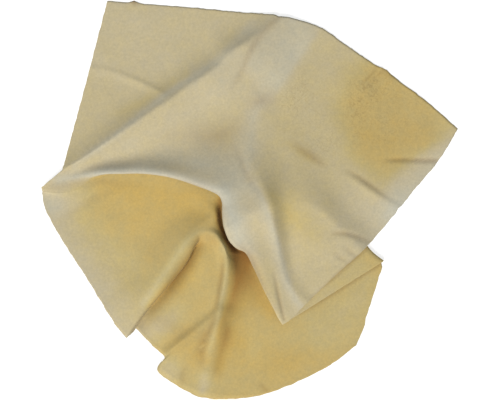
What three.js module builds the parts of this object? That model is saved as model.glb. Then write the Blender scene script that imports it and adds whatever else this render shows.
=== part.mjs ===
// Chamois leather: one cut skin, dropped on a table in loose folds that swirl around an eye.
// Millimetres, +Z up, X to the right and Y away from a person who looks down at it.
// The skin is one sheet in three stretches: an upper panel, a pleat that turns under it, and a lower panel.

import * as THREE from 'three';

// Sizes of the skin
const skinThickness = 1.2;
const pressedDepth = 0.5; // the skin's own weight beds it this deep on the table
const panelHeight = skinThickness - pressedDepth; // upper face of a panel that lies flat

// Heights of the folds over a flat panel
const longRidgeHeight = 20;
const browHeight = 15;
const humpHeight = 22;
const spineHeight = 14;
const tuckHeight = 8; // the upper panel rides this high on the pleat under it
const swellHeight = 6;
const leftRidgeHeight = 19;
const rightRidgeHeight = 21;

// Widths of the folds, from the crest to where a flank has lost most of its height
const longRidgeSteepFlank = 10;
const longRidgeBroadFlank = 34;
const browFlank = 10;
const humpReach = 24;
const spineSteepFlank = 14;
const spineBroadFlank = 24;
const tuckFlank = 26;
const swellReach = 48;
const levelFlank = Infinity; // a flank that stays level

// How softly each crest is rounded
const longRidgeRounding = 6;
const browRounding = 5;
const humpRounding = 16;
const spineRounding = 8;
const tuckRounding = 8;
const swellRounding = 40;

const bendRoom = 0.96; // share of the room between the panels that the pleat's two bends may fill

// Fineness of the sheet's grid
const rowsToCrest = [0, 0.6, 0.88]; // rows of the upper panel, as shares from the cut edge to the long ridge
const rowsFromCrest = [0, 0.35, 0.72]; // and from the ridge to the pleat
const pleatArcRows = 2;
const lowerRows = [1, 2, 3, 4, 5, 5.5, 6]; // rows of the lower panel, counted in points of its ribs

// Stations along the pleat, from the left tip of the skin to the end of the pleat on the right.
// fold: outermost line of the pleat.  turn: plan angle it leans towards, in degrees.
// reach: how far the lower panel starts beyond the upper panel's end, below zero where it is tucked under.
// top, foot: radii of the pleat's upper and lower bend.  low: height of the lower panel at the pleat.
// brow, browWidth: shares of the brow's height and flank along the fold.
// ride: share of the tuck's height over the pleat's inner bend.
// upper, lower: the cut edge that the station runs to on each panel; a third number is a height over flat.
// crest: where the long ridge crosses the upper panel, as a share from the cut edge to the pleat.
// rib: five points of the lower panel from the pleat to the cut edge; the third number is a share of ridge.
const stations = [
  { // left tip
    fold: [-238.5, 11], turn: 280, reach: 3, top: 1.4, foot: 1.3, low: 5, brow: 0, browWidth: 0.8,
    upper: [-239, 14.5], crest: 0.45, lower: [-237, 5, 3],
  },
  {
    fold: [-216, 17], turn: 280, reach: 12, top: 4, foot: 5, low: 2, brow: 0.15, browWidth: 0.8,
    upper: [-216, 32], crest: 0.36, lower: [-230, -9, 0],
  },
  {
    fold: [-196, 21], turn: 278, reach: 12, top: 4, foot: 5, low: 1.5, brow: 0.27, browWidth: 0.8,
    upper: [-207, 66], crest: 0.66, lower: [-218, -29, 0],
  },
  {
    fold: [-173, 26], turn: 274, reach: 4, top: 3, foot: 3, low: 1, brow: 0.4, browWidth: 0.8,
    upper: [-189, 133], crest: 0.73, lower: [-201, -57, 0],
  },
  { // far left corner
    fold: [-148, 26.5], turn: 270, reach: -2, top: 3, foot: 2.5, low: 1, brow: 0.54, browWidth: 0.85,
    upper: [-164, 229], crest: 0.78, lower: [-184, -86, 0],
  },
  {
    fold: [-121, 26.5], turn: 270, reach: -5, top: 4, foot: 3, low: 1, brow: 0.68, browWidth: 0.9,
    upper: [-115, 225], crest: 0.66, lower: [-169, -112, 0],
  },
  {
    fold: [-92, 23], turn: 268, reach: -8, top: 5, foot: 4, low: 1.5, brow: 0.85, browWidth: 1,
    upper: [-63, 221], crest: 0.52, lower: [-159, -129, 1],
  },
  {
    fold: [-60, 14], turn: 262, reach: -12, top: 5.5, foot: 4, low: 2, brow: 1, browWidth: 1.1,
    upper: [-12, 216], crest: 0.34, lower: [-148, -145, 3],
    ridge: leftRidgeHeight,
    rib: [[-55, -14, 0.3], [-69, -37, 0.4], [-86, -60, 0.45], [-109, -90, 0.38], [-130, -118, 0.28]],
  },
  { // crest of the left ridge
    fold: [-36, 5], turn: 240, reach: -14, top: 6, foot: 4, low: 3, brow: 1.05, browWidth: 1.4,
    upper: [33, 212], crest: 0.3, lower: [-140, -158, 6],
    ridge: leftRidgeHeight,
    rib: [[-43, -11, 0.55], [-55, -34, 0.92], [-69, -53, 1], [-94, -85, 0.9], [-118, -118, 0.66]],
  },
  {
    fold: [-32, -3.5], turn: 226, reach: -18, top: 6, foot: 4, low: 4, brow: 0.93, browWidth: 1.7,
    upper: [80, 198], crest: 0.32, lower: [-132, -149, 3],
    ridge: leftRidgeHeight,
    rib: [[-39, -15, 0.62], [-50, -37, 0.96], [-60, -56, 0.7], [-85, -87, 0.55], [-110, -120, 0.4]],
  },
  {
    fold: [-32, -14], turn: 218, reach: -24, top: 6, foot: 4, low: 4, brow: 0.8, browWidth: 2, ride: 0,
    upper: [136, 159], crest: 0.35, lower: [-133, -146, 0.2],
    ridge: leftRidgeHeight,
    rib: [[-35, -20, 0.66], [-46, -39, 1], [-59, -59, 0.28], [-84, -91, 0.1], [-110, -123, 0.04]],
  },
  { // bottom of the valley between the ridges
    fold: [-29, -29], turn: 216, reach: -30, top: 6, foot: 4, low: 4, brow: 0.7, browWidth: 2.1, ride: 0.25,
    upper: [196, 117], crest: 0.4, lower: [-106, -172, 0],
    ridge: rightRidgeHeight,
    rib: [[-31, -24, 0.62], [-42, -41, 0.93], [-51, -63, 0.18], [-64, -97, 0.04], [-83, -136, 0.02]],
  },
  { // right corner above, and below it the foot of the flap
    fold: [-26.5, -34], turn: 215, reach: -33, top: 5.5, foot: 4, low: 3.5,
    brow: 0.67, browWidth: 2.2, ride: 0.35,
    upper: [239, 82], crest: 0.4, lower: [-88, -186, 0],
    ridge: rightRidgeHeight,
    rib: [[-28, -29, 0.6], [-39, -43, 0.95], [-41, -64, 0.28], [-41, -100, 0.08], [-50, -142, 0.03]],
  },
  {
    fold: [-25, -38], turn: 214, reach: -36, top: 5.5, foot: 4, low: 3.3,
    brow: 0.65, browWidth: 2.2, ride: 0.45,
    upper: [227, 61], crest: 0.4, lower: [-87, -190, 3],
    ridge: rightRidgeHeight,
    rib: [[-25, -31, 0.57], [-37, -44, 0.96], [-38, -64, 0.45], [-38, -99, 0.25], [-48, -142, 0.15]],
  },
  { // underside of the flap
    fold: [-23, -41], turn: 213, reach: -38, top: 5, foot: 3.5, low: 3,
    brow: 0.62, browWidth: 2.3, ride: 0.55,
    upper: [212, 39], crest: 0.4, lower: [-107, -193, 2.8],
    ridge: rightRidgeHeight,
    rib: [[-22, -34, 0.52], [-34, -45, 0.97], [-35, -64, 0.65], [-38, -98, 0.48], [-60, -142, 0.27]],
  },
  { // top of the flap
    fold: [-19, -46.5], turn: 212, reach: -41, top: 5, foot: 3.2, low: 2.5,
    brow: 0.58, browWidth: 2.4, ride: 0.68,
    upper: [200, 25], crest: 0.4, lower: [-104, -198, 8.4],
    ridge: rightRidgeHeight,
    rib: [[-16, -36, 0.46], [-32, -47, 0.97], [-32, -64, 0.85], [-34, -98, 0.75], [-56, -142, 0.5]],
  },
  { // crest of the right ridge
    fold: [-15, -51], turn: 211, reach: -45, top: 4.5, foot: 3, low: 2, brow: 0.53, browWidth: 2.5, ride: 0.8,
    upper: [185, 7.5], crest: 0.4, lower: [-62, -225, 5.5],
    ridge: rightRidgeHeight,
    rib: [[-6, -37, 0.36], [-28, -51, 0.97], [-26, -67, 1], [-25, -98, 0.95], [-29, -140, 0.76]],
  },
  { // foot of the right ridge
    fold: [-2, -61], turn: 208, reach: -55, top: 4, foot: 2.5, low: 1, brow: 0.45, browWidth: 2.6, ride: 0.9,
    upper: [168, -14], crest: 0.4, lower: [-32, -229, 0],
    ridge: rightRidgeHeight,
    rib: [[18, -46, 0.1], [-3, -62, 0.2], [-9, -83, 0.18], [-8, -115, 0.08], [-12, -167, 0.03]],
  },
  {
    fold: [9, -78], turn: 208, reach: -75, top: 3.4, foot: 2, low: 0.4, brow: 0.37, browWidth: 2.8, ride: 1,
    upper: [132, -54], crest: 0.4, lower: [14, -224, 0],
  },
  {
    fold: [21, -104], turn: 210, reach: -103, top: 3.2, foot: 1.8, low: 0, brow: 0.3, browWidth: 3, ride: 1,
    upper: [98, -86], crest: 0.4, lower: [90, -191, 0],
  },
  { // near right corner
    fold: [30, -126], turn: 211, reach: -124, top: 3, foot: 1.6, low: 0, brow: 0.2, browWidth: 3, ride: 1,
    upper: [63, -120], crest: 0.4, lower: [122, -167, 0],
  },
  {
    fold: [34, -137], turn: 211, reach: -130, top: 2.8, foot: 1.6, low: 0, brow: 0.14, browWidth: 3, ride: 1,
    upper: [51, -132], crest: 0.4, lower: [139, -118, 0],
  },
  { // end of the pleat
    fold: [37, -143], turn: 212, reach: -133, top: 2.6, foot: 1.6, low: 0, brow: 0.1, browWidth: 3, ride: 1,
    upper: [44, -139], crest: 0.4, lower: [152, -77, 0],
  },
];
const upperCorners = [4, 12]; // stations where the cut edge has a corner
const lowerCorners = [8, 20];
const columnsPerSpan = [1, 1, 1, 1, 2, 1, 2, 2, 1, 2, 2, 2, 2, 1, 2, 1, 1, 1, 2, 1, 1, 1];

// Plan direction that the pleat leans towards
function leanOf(turn) {
  const angle = THREE.MathUtils.degToRad(turn);
  return [Math.cos(angle), Math.sin(angle)];
}

// Plan place at a distance beyond the upper panel's end, which lies one bend behind the fold
function beyondPanel({ fold, turn, top }, distance) {
  const lean = leanOf(turn);
  return [0, 1].map((axis) => fold[axis] + (distance - top) * lean[axis]);
}

// Crests on the upper panel. Each point is [x, y, share of height, share of left flank, and of right flank].
const crests = [
  { // long ridge from the left tip to the far edge
    height: longRidgeHeight,
    rounding: longRidgeRounding,
    left: longRidgeSteepFlank,
    right: longRidgeBroadFlank,
    line: [
      [-240, 12, 0.35, 0.6, 0.4], [-207, 35, 0.65, 0.7, 0.68], [-172, 58, 0.95, 0.9, 0.95],
      [-138, 80, 1, 1, 1], [-104, 104, 0.95, 1.3, 1.1], [-69, 124, 0.8, 1.6, 1.1], [-34, 144, 0.65, 2, 1],
      [0, 168, 0.5, 2.1, 0.9], [29, 191, 0.3, 1.8, 0.7], [46, 212, 0.15, 1.4, 0.5],
    ],
  },
  { // brow along the pleat, then the rim of the tucked side
    height: browHeight,
    rounding: browRounding,
    left: browFlank,
    right: levelFlank,
    line: stations.map(({ fold, brow, browWidth }) => [...fold, brow, browWidth, 1]),
  },
  { // hump over the eye
    height: humpHeight,
    rounding: humpRounding,
    left: humpReach,
    right: humpReach,
    line: [[-23, -7, 0.9, 1, 1], [16, -7, 1, 1, 1]],
  },
  { // spine over the hump and down beside the tucked rim
    height: spineHeight,
    rounding: spineRounding,
    left: spineSteepFlank,
    right: spineBroadFlank,
    line: [
      [-6, 86, 0.4, 1.2, 1], [9, 46, 0.85, 1, 1], [20, 2, 1, 1, 1], [17, -38, 0.8, 1, 1],
      [23, -80, 0.5, 1, 0.8], [40, -135, 0.12, 0.8, 0.5],
    ],
  },
  { // step over the inner bend of the pleat
    height: tuckHeight,
    rounding: tuckRounding,
    left: tuckFlank,
    right: levelFlank,
    line: stations.filter(({ ride }) => ride !== undefined)
      .map((station) => [...beyondPanel(station, station.reach), station.ride, 1, 1]),
  },
  { // broad swell under the hump
    height: swellHeight,
    rounding: swellRounding,
    left: swellReach,
    right: swellReach,
    line: [[-8, 12, 1, 1, 1], [-4, 12, 1, 1, 1]],
  },
];

const leather = new THREE.MeshStandardMaterial({ color: 0xc4b384, roughness: 0.92, metalness: 0 });

// Smooth curve through rows of numbers. At a corner each side runs straight towards its own neighbour.
function curveThrough(rows, place, corners = []) {
  const span = Math.min(Math.floor(place), rows.length - 2);
  const part = place - span;
  const slope = (index, side) => {
    const sharp = corners.includes(index) || index === 0 || index === rows.length - 1;
    const before = sharp && side > 0 ? index : Math.max(index - 1, 0);
    const after = sharp && side < 0 ? index : Math.min(index + 1, rows.length - 1);
    return rows[index].map((_, axis) => (rows[after][axis] - rows[before][axis]) / (after - before));
  };
  const leaving = slope(span, 1);
  const arriving = slope(span + 1, -1);
  const hermite = [
    2 * part ** 3 - 3 * part ** 2 + 1,
    part ** 3 - 2 * part ** 2 + part,
    -2 * part ** 3 + 3 * part ** 2,
    part ** 3 - part ** 2,
  ];
  return rows[span].map((value, axis) => hermite[0] * value + hermite[1] * leaving[axis]
    + hermite[2] * rows[span + 1][axis] + hermite[3] * arriving[axis]);
}

// Crest lines drawn as short steps, so that the nearest one to a point is found quickly
const stepsPerCrestSpan = 8;
const crestSteps = crests.map(({ line }) => {
  const count = (line.length - 1) * stepsPerCrestSpan;
  return Array.from({ length: count + 1 }, (_, step) => curveThrough(line, step / stepsPerCrestSpan));
});

// Height of one crest over a point: full on the crest, rounded there, and fading away on each flank
function crestHeight(crest, steps, x, y) {
  let nearest = { distance: Infinity };
  for (let step = 0; step < steps.length - 1; step += 1) {
    const [ax, ay] = steps[step];
    const [bx, by] = steps[step + 1];
    const lengthSquared = (bx - ax) ** 2 + (by - ay) ** 2;
    const along = THREE.MathUtils.clamp(((x - ax) * (bx - ax) + (y - ay) * (by - ay)) / lengthSquared, 0, 1);
    const distance = Math.hypot(x - ax - along * (bx - ax), y - ay - along * (by - ay));
    if (distance < nearest.distance) {
      const onLeft = (bx - ax) * (y - ay) - (by - ay) * (x - ax) > 0;
      nearest = { distance, step, along, onLeft };
    }
  }
  const mixed = (item) => THREE.MathUtils.lerp(
    steps[nearest.step][item], steps[nearest.step + 1][item], nearest.along);
  const flank = nearest.onLeft ? crest.left * mixed(3) : crest.right * mixed(4);
  const fade = (crest.rounding - Math.hypot(nearest.distance, crest.rounding)) / flank;
  return crest.height * mixed(2) * Math.exp(fade);
}

// Height of the upper panel's face over the table
function upperHeight(x, y) {
  return crests.reduce((sum, crest, index) => sum + crestHeight(crest, crestSteps[index], x, y), panelHeight);
}

// The pleat at one place: an arc over, a straight run and an arc back, in the upright plane of its lean.
// The two bends and the run follow from how far and how deep the pleat goes.
function pleatAt(place) {
  const rows = stations.map((at) => [...at.fold, at.turn, at.reach, at.top, at.foot, at.low]);
  const [foldX, foldY, turn, reach, wantedTop, wantedFoot, low] = curveThrough(rows, place);
  const lean = leanOf(turn);
  const start = beyondPanel({ fold: [foldX, foldY], turn, top: wantedTop }, 0);
  const startHeight = upperHeight(...start);
  const depth = startHeight - panelHeight - low;
  const room = bendRoom * (reach ** 2 + depth ** 2) / (2 * depth);
  const fit = Math.min(1, room / (wantedTop + wantedFoot));
  const top = fit * wantedTop;
  const foot = fit * wantedFoot;
  const bends = top + foot;
  const drop = depth - bends;
  const run = Math.sqrt(reach ** 2 + drop ** 2 - bends ** 2);
  const swing = Math.atan2(drop, reach) + Math.atan2(bends, run);
  const points = [];
  const add = (out, down) => {
    points.push([start[0] + out * lean[0], start[1] + out * lean[1], startHeight - down]);
  };
  for (let row = 0; row <= pleatArcRows; row += 1) {
    const angle = swing * row / pleatArcRows;
    add(top * Math.sin(angle), top * (1 - Math.cos(angle)));
  }
  for (let row = pleatArcRows; row >= 0; row -= 1) {
    const angle = swing * row / pleatArcRows;
    const out = reach - foot * Math.sin(angle);
    const down = drop + bends - foot * (1 - Math.cos(angle));
    add(out, down);
  }
  return points;
}

// Points of the lower panel at each station, from the pleat to the cut edge
const ringCount = 6; // five points of a rib and the cut edge
const lowerNet = stations.map(({ lower, ridge, rib }, index) => {
  const edge = [lower[0], lower[1], panelHeight + lower[2]];
  if (rib) {
    return [...rib.map(([x, y, share]) => [x, y, panelHeight + share * ridge]), edge];
  }
  const foot = pleatAt(index).at(-1);
  return Array.from({ length: ringCount }, (_, ring) => {
    const part = (ring + 1) / ringCount;
    const fall = 1 - (1 - part) ** 2;
    return [
      THREE.MathUtils.lerp(foot[0], edge[0], part),
      THREE.MathUtils.lerp(foot[1], edge[1], part),
      THREE.MathUtils.lerp(foot[2], edge[2], fall),
    ];
  });
});

// One column of the sheet's upper face, from the upper cut edge over the pleat to the lower cut edge
function columnAt(place) {
  const pleat = pleatAt(place);
  const upperEdge = curveThrough(stations.map(({ upper }) => upper), place, upperCorners);
  const planAt = (part) => [0, 1].map((axis) => THREE.MathUtils.lerp(upperEdge[axis], pleat[0][axis], part));
  const [crestPart] = curveThrough(stations.map(({ crest }) => [crest]), place);
  const parts = [
    ...rowsToCrest.map((share) => share * crestPart),
    ...rowsFromCrest.map((share) => THREE.MathUtils.lerp(crestPart, 1, share)),
  ];
  const upper = parts.map((part) => {
    const [x, y] = planAt(part);
    return [x, y, upperHeight(x, y)];
  });
  const rings = Array.from({ length: ringCount }, (_, ring) => {
    const corners = ring === ringCount - 1 ? lowerCorners : [];
    return curveThrough(lowerNet.map((net) => net[ring]), place, corners);
  });
  const rib = [pleat.at(-1), ...rings];
  const lower = lowerRows.map((row) => curveThrough(rib, row));
  return [...upper, ...pleat, ...lower].map((point) => new THREE.Vector3(...point));
}

// The whole face as columns of points
const face = columnsPerSpan.flatMap((count, span) => {
  return Array.from({ length: count }, (_, step) => columnAt(span + step / count));
});
face.push(columnAt(stations.length - 1));

// The under face lies one thickness below along the face's normal, and is flat where it meets the table
function underFace(columns) {
  const last = { column: columns.length - 1, row: columns[0].length - 1 };
  return columns.map((column, c) => column.map((point, r) => {
    const across = columns[Math.min(c + 1, last.column)][r].clone().sub(columns[Math.max(c - 1, 0)][r]);
    const down = column[Math.min(r + 1, last.row)].clone().sub(column[Math.max(r - 1, 0)]);
    const normal = down.cross(across).normalize();
    const under = point.clone().addScaledVector(normal, -skinThickness);
    under.z = Math.max(under.z, 0);
    return under;
  }));
}

// Closed solid between the two faces, with the cut edge as its rim
function solidBetween(upperFace, lowerFace) {
  const columns = upperFace.length;
  const rows = upperFace[0].length;
  const end = columns - 1;
  const positions = [...upperFace.flat(), ...lowerFace.flat()].flatMap((point) => point.toArray());
  const onFace = (c, r) => c * rows + r;
  const onUnder = (c, r) => columns * rows + c * rows + r;
  const triangles = [];
  const quad = (a, b, c, d) => triangles.push(a, b, c, a, c, d);
  for (let c = 0; c < columns - 1; c += 1) {
    for (let r = 0; r < rows - 1; r += 1) {
      quad(onFace(c, r), onFace(c, r + 1), onFace(c + 1, r + 1), onFace(c + 1, r));
      quad(onUnder(c, r), onUnder(c + 1, r), onUnder(c + 1, r + 1), onUnder(c, r + 1));
    }
  }
  for (let c = 0; c < columns - 1; c += 1) {
    quad(onFace(c, 0), onFace(c + 1, 0), onUnder(c + 1, 0), onUnder(c, 0));
    quad(onFace(c + 1, rows - 1), onFace(c, rows - 1), onUnder(c, rows - 1), onUnder(c + 1, rows - 1));
  }
  for (let r = 0; r < rows - 1; r += 1) {
    quad(onFace(0, r + 1), onFace(0, r), onUnder(0, r), onUnder(0, r + 1));
    quad(onFace(end, r), onFace(end, r + 1), onUnder(end, r + 1), onUnder(end, r));
  }
  const geometry = new THREE.BufferGeometry();
  geometry.setAttribute('position', new THREE.Float32BufferAttribute(positions, 3));
  geometry.setIndex(triangles);
  geometry.computeVertexNormals();
  return geometry;
}

const skin = new THREE.Mesh(solidBetween(face, underFace(face)), leather);
skin.name = 'chamois_skin';

const chamois = new THREE.Group();
chamois.add(skin);

export default chamois;
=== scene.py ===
# Chamois leather: one cut skin lying in loose folds that swirl around a raised hump
import bpy
import numpy as np
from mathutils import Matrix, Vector


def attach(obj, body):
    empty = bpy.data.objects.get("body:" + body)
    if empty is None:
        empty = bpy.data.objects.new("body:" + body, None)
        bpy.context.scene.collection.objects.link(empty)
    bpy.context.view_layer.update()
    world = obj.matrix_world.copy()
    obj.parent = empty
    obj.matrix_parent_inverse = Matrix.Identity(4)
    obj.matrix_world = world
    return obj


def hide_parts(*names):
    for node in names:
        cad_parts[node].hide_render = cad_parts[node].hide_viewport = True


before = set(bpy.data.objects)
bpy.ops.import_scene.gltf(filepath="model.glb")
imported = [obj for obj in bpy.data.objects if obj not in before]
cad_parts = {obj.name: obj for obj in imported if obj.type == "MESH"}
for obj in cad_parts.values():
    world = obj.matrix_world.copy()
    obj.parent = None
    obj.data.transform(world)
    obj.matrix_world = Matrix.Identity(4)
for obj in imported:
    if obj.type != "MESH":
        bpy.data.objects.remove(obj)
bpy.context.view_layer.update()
scene = bpy.context.scene
mm = 0.001

# view straight down, framed like a 500 by 400 picture with 1.15 mm to the pixel
view = {
    "pictureWidth": 500,
    "mmPerPixel": 1.15,
    "height": 2.0,          # camera over the table, m
    "sensor": 36.0,         # mm
}


def addCamera():
    data = bpy.data.cameras.new("viewFromAbove")
    data.sensor_width = view["sensor"]
    fieldWidth = view["pictureWidth"] * view["mmPerPixel"] * mm
    data.lens = view["sensor"] * view["height"] / fieldWidth
    camera = bpy.data.objects.new("viewFromAbove", data)
    camera.location = (0, 0, view["height"])
    scene.collection.objects.link(camera)
    scene.camera = camera


addCamera()
print("camera placed")

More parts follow.
